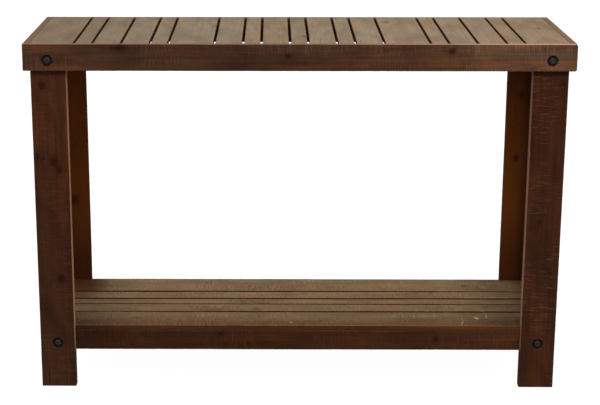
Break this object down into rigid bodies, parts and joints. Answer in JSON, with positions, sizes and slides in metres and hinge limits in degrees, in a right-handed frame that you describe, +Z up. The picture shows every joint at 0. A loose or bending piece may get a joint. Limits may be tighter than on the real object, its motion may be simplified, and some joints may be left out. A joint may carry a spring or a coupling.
{
  "type": "potting bench",
  "caption": "Slatted outdoor potting bench with a random-width board top, plank legs bolted behind the aprons and a low slatted storage shelf.",
  "frame": {"origin": "centre of the bench's footprint, on the floor", "axes": "+X along the bench's length, to the right as seen from the front; +Y from the front apron to the rear; +Z up"},
  "size_m": [1.22, 0.4, 0.81],
  "materials": {
    "top_wood": "weathered stained fir, grey-tan, matt",
    "apron_wood": "rough-sawn fir stained dark reddish brown, worn arrises",
    "leg_wood": "rough-sawn fir stained dark brown, worn arrises",
    "shelf_wood": "weathered stained fir, olive-tan, saw-marked",
    "frame_wood": "stained fir, dark brown, matt",
    "dark_metal": "blackened steel, satin"
  },
  "bodies": {
    "root": {"top_slat_01": "top_wood", "top_slat_02": "top_wood", "top_slat_03": "top_wood", "top_slat_04": "top_wood", "top_slat_05": "top_wood", "top_slat_06": "top_wood", "top_slat_07": "top_wood", "top_slat_08": "top_wood", "top_slat_09": "top_wood", "top_slat_10": "top_wood", "top_slat_11": "top_wood", "top_slat_12": "top_wood", "top_slat_13": "top_wood", "top_slat_14": "top_wood", "top_slat_15": "top_wood", "top_slat_16": "top_wood", "top_slat_17": "top_wood", "top_slat_18": "top_wood", "top_slat_19": "top_wood", "front_apron": "apron_wood", "rear_apron": "apron_wood", "left_apron": "apron_wood", "right_apron": "apron_wood", "front_cleat": "frame_wood", "rear_cleat": "frame_wood", "front_left_leg": "leg_wood", "front_right_leg": "leg_wood", "rear_left_leg": "leg_wood", "rear_right_leg": "leg_wood", "shelf_front_rail": "leg_wood", "shelf_rear_rail": "leg_wood", "shelf_left_rail": "frame_wood", "shelf_right_rail": "frame_wood", "shelf_batten_left": "frame_wood", "shelf_batten_middle": "frame_wood", "shelf_batten_right": "frame_wood", "shelf_board_1": "shelf_wood", "shelf_board_2": "shelf_wood", "shelf_board_3": "shelf_wood", "shelf_board_4": "shelf_wood", "shelf_board_5": "shelf_wood", "apron_bolt_front_left": "dark_metal", "apron_bolt_front_right": "dark_metal", "apron_bolt_rear_left": "dark_metal", "apron_bolt_rear_right": "dark_metal", "apron_washer_front_left": "dark_metal", "apron_washer_front_right": "dark_metal", "apron_washer_rear_left": "dark_metal", "apron_washer_rear_right": "dark_metal", "shelf_bolt_front_left": "dark_metal", "shelf_bolt_front_right": "dark_metal", "shelf_bolt_rear_left": "dark_metal", "shelf_bolt_rear_right": "dark_metal", "shelf_washer_front_left": "dark_metal", "shelf_washer_front_right": "dark_metal", "shelf_washer_rear_left": "dark_metal", "shelf_washer_rear_right": "dark_metal"}
  },
  "joints": []
}
